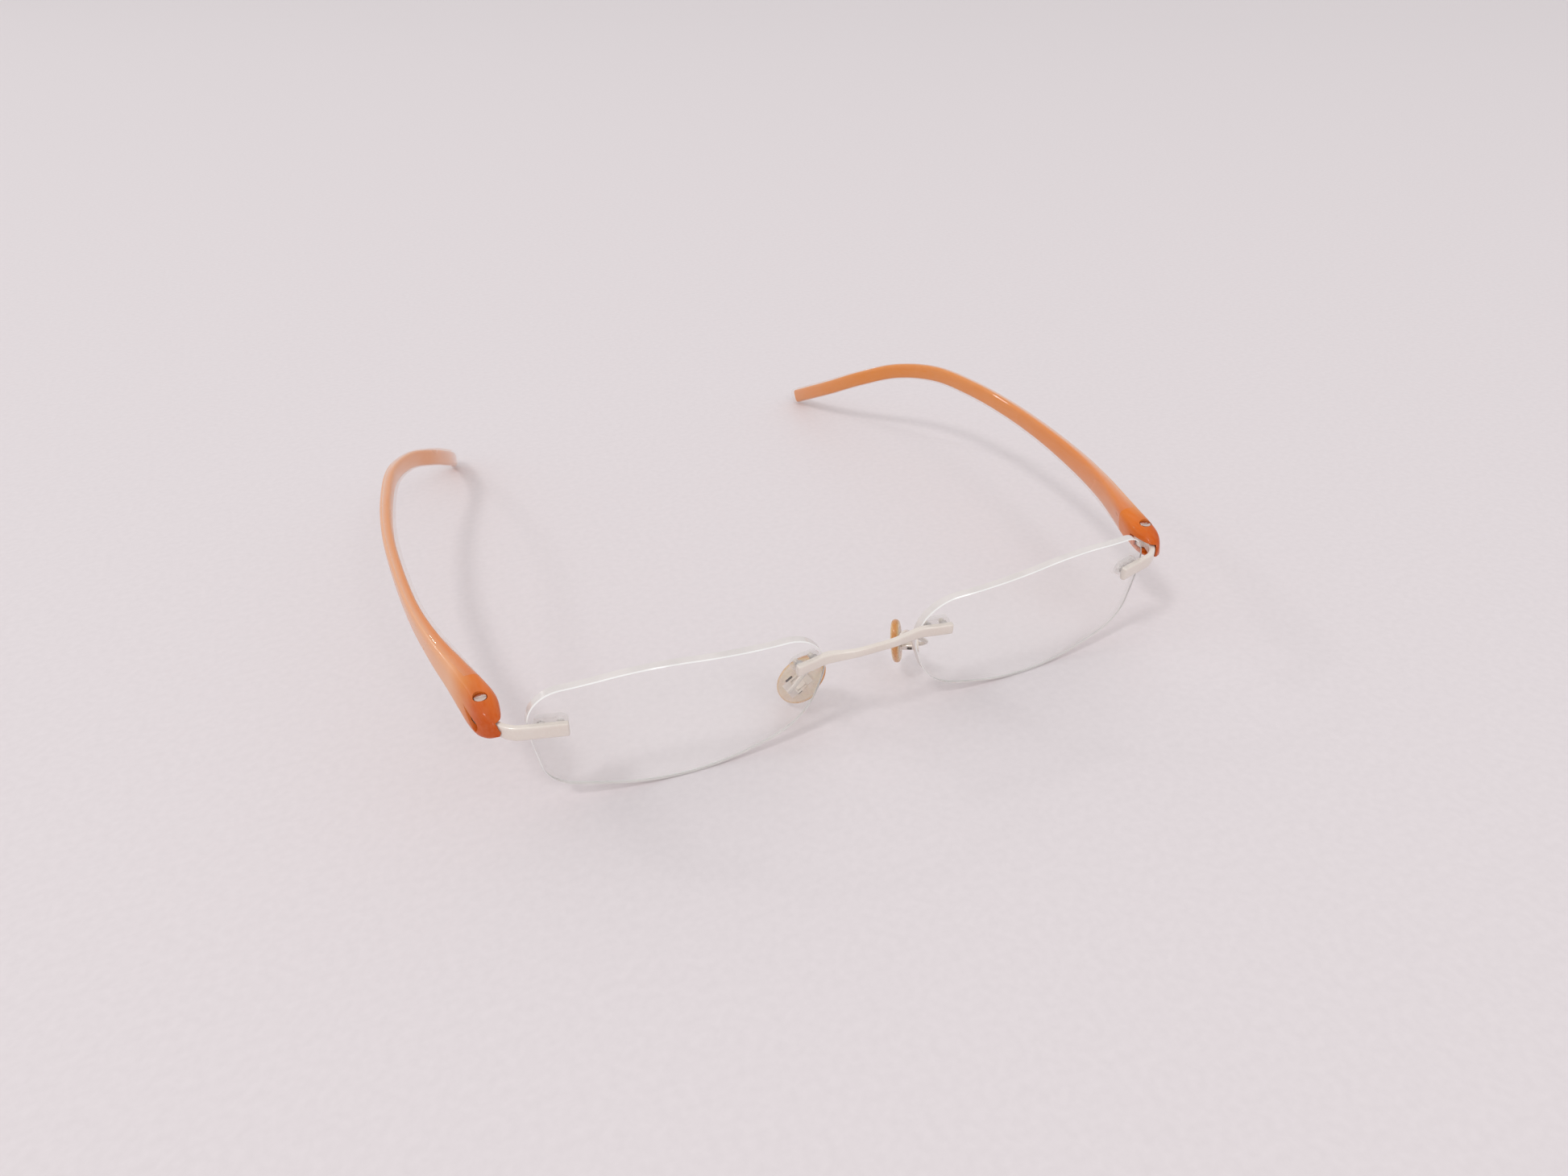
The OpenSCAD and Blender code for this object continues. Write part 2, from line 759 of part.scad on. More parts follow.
lens(RIGHT);  // lens_right
lens(LEFT);  // lens_left
bridge();
sleeve(RIGHT, bridge_peg_at);  // bridge_sleeve_right
sleeve(LEFT, bridge_peg_at);  // bridge_sleeve_left
endpiece(RIGHT);  // endpiece_right
endpiece(LEFT);  // endpiece_left
sleeve(RIGHT, end_peg_at);  // endpiece_sleeve_right
sleeve(LEFT, end_peg_at);  // endpiece_sleeve_left
temple(RIGHT);  // temple_right
temple(LEFT);  // temple_left
temple_liner(RIGHT);  // temple_liner_right
temple_liner(LEFT);  // temple_liner_left
hinge_screw(RIGHT);  // hinge_screw_right
hinge_screw(LEFT);  // hinge_screw_left
hinge_nut(RIGHT);  // hinge_nut_right
hinge_nut(LEFT);  // hinge_nut_left
hinge_washers(RIGHT);  // hinge_washers_right
hinge_washers(LEFT);  // hinge_washers_left
pad_arm(RIGHT);  // pad_arm_right
pad_arm(LEFT);  // pad_arm_left
pad_box(RIGHT);  // pad_box_right
pad_box(LEFT);  // pad_box_left
pad_screw(RIGHT);  // pad_screw_right
pad_screw(LEFT);  // pad_screw_left
pad_insert(RIGHT);  // pad_insert_right
pad_insert(LEFT);  // pad_insert_left
nose_pad(RIGHT);  // nose_pad_right
nose_pad(LEFT);  // nose_pad_left
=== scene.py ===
import math

import bmesh
import bpy
from mathutils import Matrix, Vector


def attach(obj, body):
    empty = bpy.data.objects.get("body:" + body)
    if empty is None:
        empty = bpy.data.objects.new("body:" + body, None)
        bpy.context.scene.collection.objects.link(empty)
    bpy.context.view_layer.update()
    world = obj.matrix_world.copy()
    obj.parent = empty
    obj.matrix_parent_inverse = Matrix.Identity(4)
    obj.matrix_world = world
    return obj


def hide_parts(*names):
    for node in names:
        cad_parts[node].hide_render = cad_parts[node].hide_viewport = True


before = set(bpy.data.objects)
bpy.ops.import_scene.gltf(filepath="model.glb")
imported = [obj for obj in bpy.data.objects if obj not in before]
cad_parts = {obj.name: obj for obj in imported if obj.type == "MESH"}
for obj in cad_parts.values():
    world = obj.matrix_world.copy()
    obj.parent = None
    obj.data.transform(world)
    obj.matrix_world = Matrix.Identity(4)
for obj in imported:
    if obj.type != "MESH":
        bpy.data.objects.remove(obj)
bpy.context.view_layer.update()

# Rimless eyeglasses. Shapes are made in millimetres in the layout of the wearer's left half: x from
# the middle of the frame outwards, y back from the nose edge of the lens fronts, z up.
MM = 0.001
FRONT_Y = -70.25
RIGHT, LEFT = -1, 1
UP = (0, 0, 1)
SIDES = {"right": RIGHT, "left": LEFT}


# ---- Vectors and curves ----

def turn_x(p, a):
    return Matrix.Rotation(math.radians(a), 3, "X") @ Vector(p)


def turn_z(p, a):
    return Matrix.Rotation(math.radians(a), 3, "Z") @ Vector(p)


def corner_arc(before, at, after, r, steps):
    """Arc of radius r in the corner at, between its two neighbours, in the plane."""
    before, at, after = Vector(before), Vector(at), Vector(after)
    a, b = (before - at).normalized(), (after - at).normalized()
    half = math.acos(a.dot(b)) / 2
    centre = at + (a + b).normalized() * r / math.sin(half)
    first = at + a * r / math.tan(half) - centre
    last = at + b * r / math.tan(half) - centre
    start = math.atan2(first.y, first.x)
    turn = (math.atan2(last.y, last.x) - start + math.pi) % (2 * math.pi) - math.pi
    angles = [start + turn * i / steps for i in range(steps + 1)]
    return [centre + r * Vector((math.cos(t), math.sin(t))) for t in angles]


def evenly(points, count):
    """count points at even distances along the closed line through the points."""
    loop = points + [points[0]]
    run = [0.0]
    for p, q in zip(loop, loop[1:]):
        run.append(run[-1] + (q - p).length)
    out, k = [], 0
    for i in range(count):
        s = run[-1] * i / count
        while run[k + 1] < s:
            k += 1
        out.append(loop[k].lerp(loop[k + 1], (s - run[k]) / (run[k + 1] - run[k])))
    return out


def smooth(points, t):
    """The point at t on a smooth curve that passes points[1] at t = 1."""
    n = len(points) - 1
    i = min(int(t), n - 1)
    f = t - i
    p1, p2 = Vector(points[i]), Vector(points[i + 1])
    p0 = Vector(points[i - 1]) if i > 0 else 2 * p1 - p2
    p3 = Vector(points[i + 2]) if i < n - 1 else 2 * p2 - p1
    second = 2 * p0 - 5 * p1 + 4 * p2 - p3
    third = 3 * p1 - p0 - 3 * p2 + p3
    return p1 + f * ((p2 - p0) + f * (second + f * third)) / 2


def place(station):
    return Vector(station[:3])


def heading(points, t):
    """Direction of the smooth curve at t."""
    n, step = len(points) - 1, 0.02
    ahead, behind = smooth(points, min(t + step, n)), smooth(points, max(t - step, 0))
    return (place(ahead) - place(behind)).normalized()


def rounded_point(a, w, h, power):
    """Point at angle a of a rounded rectangle with half sizes w and h."""
    c, s = math.cos(a), math.sin(a)
    x, y = abs(c) ** (2 / power), abs(s) ** (2 / power)
    return (w * math.copysign(x, c), h * math.copysign(y, s))


def bar_ring(station, ahead, power, count):
    """Ring across a bar. A station is (x, y, z, half thickness, half height, lean in degrees)."""
    side = ahead.cross(Vector((0, 0, 1))).normalized()
    rise = side.cross(ahead)
    lean = math.radians(station[5])
    across = side * math.cos(lean) - rise * math.sin(lean)
    up = rise * math.cos(lean) + side * math.sin(lean)
    ring = []
    for i in range(count):
        w, h = rounded_point(2 * math.pi * i / count, station[3], station[4], power)
        ring.append(place(station) + across * w + up * h)
    return ring


# ---- Meshes ----

class Shape:
    """A mesh being made in the layout of the left half."""

    def __init__(self):
        self.bm = bmesh.new()

    def loft(self, rings, slot=0):
        """A closed solid through rings of points. Returns the rows of its points."""
        rows = [[self.bm.verts.new(p) for p in ring] for ring in rings]
        count = len(rings[0])
        for a, b in zip(rows, rows[1:]):
            for i in range(count):
                j = (i + 1) % count
                self.bm.faces.new((a[i], a[j], b[j], b[i])).material_index = slot
        for cap in (rows[0][::-1], rows[-1]):
            self.bm.faces.new(cap).material_index = slot
        return rows

    def prism(self, outline, low, high):
        """A prism on an outline in x and y, from z low to z high."""
        self.loft([[(p[0], p[1], z) for p in outline] for z in (low, high)])
        return self

    def turned(self, profile, at, along, count=40, slot=0):
        """A solid of revolution. The profile is a list of (distance along, radius)."""
        along = Vector(along).normalized()
        side = along.orthogonal().normalized()
        other = along.cross(side)
        self.loft([
            [Vector(at) + along * s + (side * math.cos(a) + other * math.sin(a)) * r
             for a in (2 * math.pi * i / count for i in range(count))]
            for s, r in profile
        ], slot)
        return self


def link(name, mesh, materials):
    obj = bpy.data.objects.new(name, mesh)
    bpy.context.scene.collection.objects.link(obj)
    for m in materials:
        mesh.materials.append(m)
    return obj


def soften(bm, angle):
    """Smooth shading, with sharp edges where faces meet at more than the angle."""
    for f in bm.faces:
        f.smooth = True
    for e in bm.edges:
        e.smooth = len(e.link_faces) == 2 and e.calc_face_angle(0) < math.radians(angle)


def finish(shape, name, side, body, node, materials, cutters=(), angle=38):
    """Places a shape on its side, cuts it, and makes it the piece that replaces a CAD node."""
    made = []
    for k, part in enumerate([shape, *cutters]):
        bm = part.bm
        bmesh.ops.recalc_face_normals(bm, faces=bm.faces)
        for v in bm.verts:
            v.co = Vector((v.co.x, v.co.y + FRONT_Y, v.co.z)) * MM
        if side == RIGHT:
            for v in bm.verts:
                v.co.x = -v.co.x
            bmesh.ops.reverse_faces(bm, faces=bm.faces)
        mesh = bpy.data.meshes.new(name if k == 0 else name + "_cut")
        bm.to_mesh(mesh)
        bm.free()
        made.append(link(mesh.name, mesh, materials))
    obj = made[0]
    for cutter in made[1:]:
        cut = obj.modifiers.new("cut", "BOOLEAN")
        cut.object, cut.operation, cut.solver = cutter, "DIFFERENCE", "EXACT"
    if obj.modifiers:
        bpy.context.view_layer.update()
        cut_obj = obj.evaluated_get(bpy.context.evaluated_depsgraph_get())
        done = bpy.data.meshes.new_from_object(cut_obj)
        obj.modifiers.clear()
        obj.data = done
        for cutter in made[1:]:
            bpy.data.objects.remove(cutter)
    bm = bmesh.new()
    bm.from_mesh(obj.data)
    soften(bm, angle)
    bm.to_mesh(obj.data)
    bm.free()
    obj.data.name = name
    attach(obj, body)
    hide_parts(node)
    return obj


def dress(node, material, edge):
    """Gives a CAD node its finish: welded, smooth on curved faces, with small rounded edges."""
    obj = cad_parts[node]
    obj.data.materials.clear()
    obj.data.materials.append(material)
    weld = obj.modifiers.new("weld", "WELD")
    weld.merge_threshold = 1e-7
    bevel = obj.modifiers.new("edge", "BEVEL")
    bevel.width, bevel.segments, bevel.limit_method = edge * MM, 3, "ANGLE"
    bevel.angle_limit = math.radians(40)
    for f in obj.data.polygons:
        f.use_smooth = True
    obj.modifiers.new("normals", "WEIGHTED_NORMAL").keep_sharp = True


# ---- Materials ----

CLEAR_IOR = 1.5


class Nodes:
    """The nodes of a material being made."""

    def __init__(self, name):
        self.material = bpy.data.materials.new(name)
        self.material.use_nodes = True
        self.tree = self.material.node_tree
        self.tree.nodes.clear()
        self.out = self.tree.nodes.new("ShaderNodeOutputMaterial")

    def add(self, kind, inputs=None, **settings):
        node = self.tree.nodes.new(kind)
        for k, v in settings.items():
            setattr(node, k, v)
        for k, v in (inputs or {}).items():
            socket = node.inputs[k]
            if isinstance(v, bpy.types.NodeSocket):
                self.tree.links.new(v, socket)
            else:
                socket.default_value = v
        return node

    def surface(self, socket):
        self.tree.links.new(socket, self.out.inputs["Surface"])
        return self.material

    def coordinates(self):
        return self.add("ShaderNodeTexCoord").outputs["Object"]

    def noise(self, scale, detail=3.0, stretch=(1, 1, 1)):
        """Noise with features of about 1/scale metres."""
        mapping = self.add("ShaderNodeMapping", {"Vector": self.coordinates(), "Scale": stretch})
        texture = self.add(
            "ShaderNodeTexNoise", {"Vector": mapping.outputs[0], "Scale": scale, "Detail": detail}
        )
        return texture.outputs["Fac"]

    def ramp(self, socket, stops):
        node = self.add("ShaderNodeValToRGB", {"Fac": socket})
        ramp = node.color_ramp
        while len(ramp.elements) < len(stops):
            ramp.elements.new(0.5)
        for element, (at, colour) in zip(ramp.elements, stops):
            element.position = at
            element.color = (*colour, 1)
        return node.outputs["Color"]

    def span(self, socket, low, high, to_low=0.0, to_high=1.0):
        return self.add("ShaderNodeMapRange", {
            "Value": socket, "From Min": low, "From Max": high, "To Min": to_low, "To Max": to_high,
        }).outputs[0]

    def mix(self, fac, a, b):
        node = self.add("ShaderNodeMix", data_type="RGBA")
        for k, v in ((0, fac), (6, a), (7, b)):
            if isinstance(v, bpy.types.NodeSocket):
                self.tree.links.new(v, node.inputs[k])
            else:
                node.inputs[k].default_value = v
        return node.outputs[2]

    def shine(self):
        """Share of light that a clear surface reflects, the same from inside and outside."""
        straight = ((CLEAR_IOR - 1) / (CLEAR_IOR + 1)) ** 2
        facing = self.add("ShaderNodeLayerWeight", {"Blend": 0.5}).outputs["Facing"]
        grazing = self.add("ShaderNodeMath", {0: facing, 1: 5.0}, operation="POWER")
        return self.span(grazing.outputs[0], 0, 1, straight, 1)

    def bump(self, socket, strength, distance):
        return self.add(
            "ShaderNodeBump", {"Height": socket, "Strength": strength, "Distance": distance}
        ).outputs[0]


def rgb(r, g, b):
    """Linear colour from 0-255 screen values."""
    return tuple(
        c / 255 / 12.92 if c <= 10 else ((c / 255 + 0.055) / 1.055) ** 2.4 for c in (r, g, b)
    )


def clear_material(name, sheen_haze_colour, haze_low, haze_high):
    """Clear plastic: light goes straight through, and it turns milky and shiny towards its rims.
    The milky white there is partly painted highlight, standing in for the bright rims of clear
    plastic, and partly real haze that hides what lies behind.
    """
    n = Nodes(name)
    specks = n.noise(900, 2.0)
    through = n.add("ShaderNodeBsdfTransparent", {"Color": (0.985, 0.98, 0.975, 1)})
    rough = n.span(specks, 0.3, 0.7, 0.028, 0.056)
    gloss = n.add("ShaderNodeBsdfGlossy", {"Roughness": rough, "Color": (1, 1, 1, 1)})
    darker = tuple(c * 0.94 for c in sheen_haze_colour)
    haze = n.add("ShaderNodeBsdfPrincipled", {
        "Base Color": n.ramp(specks, [(0.3, sheen_haze_colour), (0.7, darker)]),
        "Roughness": 0.25, "Coat Weight": 1.0,
    })
    facing = n.add("ShaderNodeLayerWeight", {"Blend": 0.35}).outputs["Facing"]
    # Painted highlight in part: a milky white layer mixed in towards the rims, also real haze
    milky_sheen = n.span(facing, 0.15, 0.95, haze_low, haze_high)
    body = n.add("ShaderNodeMixShader", {0: milky_sheen, 1: through.outputs[0], 2: haze.outputs[0]})
    top = n.add("ShaderNodeMixShader", {0: n.shine(), 1: body.outputs[0], 2: gloss.outputs[0]})
    return n.surface(top.outputs[0])


def lens_material():
    """Polished clear lens that bends light, and lets lamplight through to the table."""
    n = Nodes("lens_clear")
    tint = (0.995, 1, 0.995, 1)
    glass = n.add("ShaderNodeBsdfPrincipled", {
        "Base Color": tint, "Transmission Weight": 1.0, "IOR": CLEAR_IOR, "Roughness": 0.0,
    })
    through = n.add("ShaderNodeBsdfTransparent", {"Color": tint})
    shadow = n.add("ShaderNodeLightPath").outputs["Is Shadow Ray"]
    top = n.add("ShaderNodeMixShader", {0: shadow, 1: glass.outputs[0], 2: through.outputs[0]})
    return n.surface(top.outputs[0])


def edge_material(name, colour, glow):
    """Polished rim of a clear lens, painted pale: the pale colour stands in for the light that runs
    along inside the lens and comes out here.
    """
    n = Nodes(name)
    streaks = n.noise(260, 3.0)
    tone = n.ramp(streaks, [(0.35, tuple(c * 0.93 for c in colour)), (0.65, colour)])
    inner = n.add("ShaderNodeBsdfTranslucent", {"Color": tone})
    skin = n.add("ShaderNodeBsdfPrincipled", {
        "Base Color": tone, "Roughness": n.span(streaks, 0.3, 0.7, 0.08, 0.16),
        "Coat Weight": 0.6, "Coat Roughness": 0.03,
    })
    top = n.add("ShaderNodeMixShader", {0: glow, 1: skin.outputs[0], 2: inner.outputs[0]})
    return n.surface(top.outputs[0])


def lacquer_material():
    """Pearl lacquer over metal, a little warmer where the lacquer is thin."""
    n = Nodes("pearl_lacquer")
    flakes = n.noise(2600, 2.0)
    cloud = n.noise(160, 3.0)
    warm = n.ramp(cloud, [(0.3, rgb(226, 214, 204)), (0.7, rgb(231, 221, 212))])
    colour = n.mix(n.span(flakes, 0.45, 0.75, 0, 0.15), warm, (*rgb(244, 240, 234), 1))
    shader = n.add("ShaderNodeBsdfPrincipled", {
        "Base Color": colour, "Metallic": 0.25, "Roughness": n.span(cloud, 0.3, 0.7, 0.28, 0.36),
        "Coat Weight": 0.7, "Coat Roughness": 0.06, "Normal": n.bump(flakes, 0.02, 0.00003),
    })
    return n.surface(shader.outputs[0])


def temple_material():
    """Glossy plastic: deep orange at the head, peach outside, orange under the clear layer."""
    n = Nodes("temple_plastic")
    split = n.add("ShaderNodeSeparateXYZ", {"Vector": n.coordinates()})
    cloud = n.noise(55, 4.0, (1, 0.4, 1))
    along = n.span(split.outputs[1], (FRONT_Y + 2) * MM, (FRONT_Y + 142) * MM)
    drift = n.span(cloud, 0.3, 0.7, -0.015, 0.015)
    wavy = n.add("ShaderNodeMath", {0: along, 1: drift}, operation="ADD")
    outside = n.ramp(wavy.outputs[0], [
        (0.0, rgb(190, 76, 0)), (0.03, rgb(196, 84, 4)), (0.07, rgb(214, 130, 66)),
        (0.11, rgb(224, 164, 124)), (0.4, rgb(223, 166, 130)), (1.0, rgb(223, 168, 134)),
    ])
    inside = n.ramp(wavy.outputs[0], [
        (0.0, rgb(200, 84, 0)), (0.05, rgb(216, 104, 4)), (0.12, rgb(226, 126, 28)),
        (0.5, rgb(226, 138, 54)), (1.0, rgb(224, 138, 60)),
    ])
    inner = n.add("ShaderNodeAttribute", attribute_name="inner").outputs["Fac"]
    colour = n.mix(n.span(inner, 0.3, 0.7), outside, inside)
    grain = n.noise(1500, 2.0, (1, 0.15, 1))
    colour = n.mix(n.span(grain, 0.35, 0.65, 0, 0.06), colour, (*rgb(236, 190, 150), 1))
    shader = n.add("ShaderNodeBsdfPrincipled", {
        "Base Color": colour, "Roughness": n.span(cloud, 0.3, 0.7, 0.24, 0.34), "Coat Weight": 0.3,
        "Coat Roughness": 0.06, "Specular IOR Level": 0.14, "Subsurface Weight": 0.06,
        "Subsurface Radius": (0.002, 0.001, 0.0005), "Subsurface Scale": 1.0,
        "Normal": n.bump(grain, 0.03, 0.0001),
    })
    return n.surface(shader.outputs[0])


def metal_material(name, colour, rough):
    """Machined metal with fine turning marks and slightly uneven shine."""
    n = Nodes(name)
    marks = n.noise(2500, 3.0)
    patches = n.noise(400, 3.0)
    tone = n.ramp(patches, [(0.3, tuple(c * 0.82 for c in colour)), (0.7, colour)])
    shader = n.add("ShaderNodeBsdfPrincipled", {
        "Base Color": tone, "Metallic": 1.0,
        "Roughness": n.span(marks, 0.3, 0.7, rough * 0.7, rough * 1.3),
        "Normal": n.bump(marks, 0.15, 0.00003),
    })
    return n.surface(shader.outputs[0])


def silicone_material():
    """Soft clear silicone: cream where it is thin, amber towards its rim, with a satin skin."""
    n = Nodes("pad_silicone")
    rim = n.add("ShaderNodeAttribute", attribute_name="rim").outputs["Fac"]
    skin = n.noise(1800, 3.0)
    colour = n.ramp(rim, [
        (0.0, rgb(246, 238, 229)), (0.86, rgb(243, 232, 218)), (0.96, rgb(228, 188, 132)),
        (1.0, rgb(206, 140, 66)),
    ])
    jelly = n.add("ShaderNodeBsdfPrincipled", {
        "Base Color": colour, "Roughness": n.span(skin, 0.3, 0.7, 0.22, 0.36),
        "Subsurface Weight": 0.3, "Subsurface Radius": (0.003, 0.002, 0.001),
        "Subsurface Scale": 1.0,
        "Coat Weight": 0.4, "Coat Roughness": 0.1, "Normal": n.bump(skin, 0.05, 0.0001),
    })
    through = n.add("ShaderNodeBsdfTransparent", {"Color": (*rgb(250, 240, 226), 1)})
    solid = n.span(rim, 0.75, 1.0, 0.55, 0.8)
    top = n.add("ShaderNodeMixShader", {0: solid, 1: through.outputs[0], 2: jelly.outputs[0]})
    return n.surface(top.outputs[0])


def core_material():
    """Pale moulded plastic of the pad's stiff core."""
    n = Nodes("pad_core")
    skin = n.noise(1200, 3.0)
    shader = n.add("ShaderNodeBsdfPrincipled", {
        "Base Color": n.ramp(skin, [(0.3, rgb(226, 214, 203)), (0.7, rgb(232, 221, 211))]),
        "Roughness": n.span(skin, 0.3, 0.7, 0.3, 0.4), "Normal": n.bump(skin, 0.05, 0.00005),
    })
    return n.surface(shader.outputs[0])


LENS = lens_material()
# Painted light: the pale edge band stands in for light leaving the polished edge, and the
# near-white copy on the chamfers is a painted highlight line
LENS_EDGE = edge_material("lens_edge", rgb(238, 231, 228), 0.2)
LENS_RIM_HIGHLIGHT = edge_material("lens_rim_highlight", rgb(253, 252, 250), 0.1)
# The haze shares of these two paint part of their rim highlights as milky white
CLEAR = clear_material("clear_plastic", rgb(240, 236, 232), 0.0, 0.22)
SLEEVE = clear_material("clear_sleeve", rgb(246, 243, 240), 0.05, 0.32)
LACQUER = lacquer_material()
TEMPLE = temple_material()
SCREW = metal_material("screw_metal", rgb(226, 205, 196), 0.28)
HINGE = metal_material("hinge_metal", rgb(196, 194, 192), 0.3)
DARK = metal_material("dark_metal", rgb(92, 84, 78), 0.35)
SILICONE = silicone_material()
PAD_CORE = core_material()


# ---- Lenses ----

LENS_R, LENS_T = 106, 1.6
LENS_W, LENS_H, NOSE_GAP, LENS_Y = 51.4, 25.9, 18, -1.72
OUTLINE_W, OUTLINE_H = 51.42, 25.93
LENS_LEAN, LENS_WRAP = 6, 2.5
CHAMFER = 0.16
OUTLINE_CORNERS = [
    (26, 10.7, 6.7), (6, 13.5, 55), (-24.4, 9.7, 8.7), (-26.05, 1.5, 7.2),
    (-22.4, -9.5, 11.7), (0, -14.2, 56), (23.5, -8.9, 6.6), (25.4, 2.1, 45),
]
BRIDGE_PEGS, END_PEGS = (-22.2, 4.5), (22, 4.5)
PEG_D, PEG_PITCH, SLEEVE_D = 0.9, 3, 1.48
WEB_T, WEB_GAP, SEAT_GAP, FIT_GAP = 0.8, 0.08, 0.03, 0.01


def lens_outline(count):
    corners, arcs = OUTLINE_CORNERS, []
    for i, c in enumerate(corners):
        before, after = corners[i - 1], corners[(i + 1) % len(corners)]
        arcs += corner_arc(before[:2], c[:2], after[:2], c[2], 24)
    wide, high = LENS_W / OUTLINE_W, LENS_H / OUTLINE_H
    return [Vector((p.x * wide, p.y * high)) for p in evenly(arcs, count)]


def sag(p, r):
    """How far back a sphere of radius r lies at p, for spheres that share the front's centre."""
    return LENS_R - math.sqrt(r * r - p.x * p.x - p.y * p.y)


def worn(p):
    """Turns a lens point to the lean and wrap it has on the face."""
    return turn_z(turn_x(p, LENS_LEAN), LENS_WRAP)


RIM = [worn((p.x, sag(p, LENS_R), p.y)) for p in lens_outline(400)]
LENS_AT = Vector((NOSE_GAP / 2 - min(p.x for p in RIM), LENS_Y, -min(p.z for p in RIM)))


def from_lens(p):
    return LENS_AT + worn(p)


def from_pegs(at, p):
    """A point given from a pair of pegs: x along the bar, y into the lens, z up."""
    up = math.asin(at[1] / LENS_R)
    across = math.asin(at[0] / (LENS_R * math.cos(up)))
    centre = Vector((0, LENS_R, 0))
    turned = turn_z(turn_x(Vector(p) - centre, -math.degrees(up)), math.degrees(across))
    return from_lens(centre + turned)


def make_lens(side_name, side):
    outline = lens_outline(400)
    count = len(outline)
    inset = []
    for i, p in enumerate(outline):
        along = (outline[(i + 1) % count] - outline[i - 1]).normalized()
        inset.append(p + Vector((-along.y, along.x)) * CHAMFER)
    shares = [0.04, 0.15, 0.3, 0.45, 0.6, 0.75, 0.88, 0.96]

    def ring(points, share, r, dy=0.0):
        return [from_lens((p.x * share, sag(p * share, r) + dy, p.y * share)) for p in points]

    back_r = LENS_R - LENS_T
    shape = Shape()
    front = [ring(inset, s, LENS_R) for s in shares] + [ring(inset, 1, LENS_R)]
    edge = [
        ring(outline, 1, LENS_R, CHAMFER), ring(outline, 1, LENS_R, LENS_T / 3),
        ring(outline, 1, back_r, -LENS_T / 3), ring(outline, 1, back_r, -CHAMFER),
    ]
    back = [ring(inset, s, back_r) for s in [1] + shares[::-1]]
    rows = shape.loft(front + edge + back)
    first, last = len(front) - 1, len(front) + len(edge) - 1
    for i in range(first, last + 1):
        for k, v in enumerate(rows[i]):
            j = (k + 1) % count
            face = shape.bm.faces.get((v, rows[i][j], rows[i + 1][j], rows[i + 1][k]))
            # The chamfer faces take the near-white rim material, a painted highlight line
            face.material_index = 2 if i in (first, last) else 1
    cutters = []
    for at in (BRIDGE_PEGS, END_PEGS):
        for x in (-PEG_PITCH / 2, PEG_PITCH / 2):
            start, end = from_pegs(at, (x, -2, 0)), from_pegs(at, (x, LENS_T + 2, 0))
            r = SLEEVE_D / 2 + FIT_GAP
            profile = [(0, r), ((end - start).length, r)]
            cutters.append(Shape().turned(profile, start, end - start, 32, 1))
    finish(shape, "lens_clear_" + side_name, side, "front", "lens_" + side_name,
           [LENS, LENS_EDGE, LENS_RIM_HIGHLIGHT], cutters, angle=30)


# ---- Bridge and endpieces ----

BAR_T, BRIDGE_H, BRIDGE_MID_H, ENDPIECE_H, TONGUE_H = 1.2, 2.1, 1.5, 2.7, 2.1
BRIDGE_MID = [(0, -1.6, 17.45, 0), (3.5, -1.5, 17.4, 0.1), (6.6, -1, 17.35, 0.55)]
ENDPIECE_BEND = [(62.2, 2, 17.5, 1.35, 3), (64, 3.4, 17.7, 1.25, 1), (65.1, 5.2, 17.9, 1.1, 0)]
HINGE_X, HINGE_Y, EYE_R, TONGUE_Z, TONGUE_HOLE_R = 65.9, 8.35, 1.85, 18, 0.63


def lean_at(at):
    """Lean of a bar that lies flat on the lens at a pair of pegs, in degrees."""
    return -math.degrees(math.asin((from_pegs(at, (0, 0, 1)) - from_pegs(at, (0, 0, 0))).y))


def seat(at, xs, h, trim=0.0):
    """Stations of a bar where it lies on the lens."""
    return [
        (*from_pegs(at, (x, -SEAT_GAP - BAR_T / 2, 0)), BAR_T / 2 - trim, h / 2 - trim, lean_at(at))
        for x in xs
    ]


# BRIDGE_MID gives x, y, z and how far each point is from the middle's size to the seat's
BRIDGE_HALF = [
    (*at, BAR_T * 0.45, (BRIDGE_MID_H + share * (BRIDGE_H - BRIDGE_MID_H)) / 2,
     share * lean_at(BRIDGE_PEGS))
    for *at, share in BRIDGE_MID
] + seat(BRIDGE_PEGS, [-3.1, -1, 1, 2.4], BRIDGE_H) + seat(BRIDGE_PEGS, [2.68], BRIDGE_H, 0.1) \
    + seat(BRIDGE_PEGS, [2.8], BRIDGE_H, 0.35)
ENDPIECE = seat(END_PEGS, [-2.95], ENDPIECE_H, 0.35) + seat(END_PEGS, [-2.83], ENDPIECE_H, 0.1) \
    + seat(END_PEGS, [-2.5, -0.9, 0.9, 2.9], ENDPIECE_H) \
    + [(*s[:3], BAR_T / 2, s[3], s[4]) for s in ENDPIECE_BEND] \
    + [(HINGE_X - 0.25, HINGE_Y - 0.7, TONGUE_Z, BAR_T / 2, TONGUE_H / 2, 0)]


def bar_rings(stations, power, points, steps):
    count = (len(stations) - 1) * steps
    return [bar_ring(smooth(stations, i / steps), heading(stations, i / steps), power, points)
            for i in range(count + 1)]


def add_pegs(shape, at, side=LEFT):
    """The two round pegs of a bar, with rounded ends behind the web."""
    length = BAR_T / 2 + SEAT_GAP + LENS_T + WEB_GAP + WEB_T + 0.35
    r = PEG_D / 2
    end = [(0.18, 1), (0.1, 0.94), (0.03, 0.72), (0, 0.3)]
    profile = [(0, r)] + [(length - before, r * size) for before, size in end]
    for x in (-PEG_PITCH / 2, PEG_PITCH / 2):
        start = from_pegs(at, (x, -SEAT_GAP - BAR_T / 2, 0))
        ahead = from_pegs(at, (x, 1, 0)) - from_pegs(at, (x, 0, 0))
        start.x, ahead.x = start.x * side, ahead.x * side
        shape.turned(profile, start, ahead, 32)


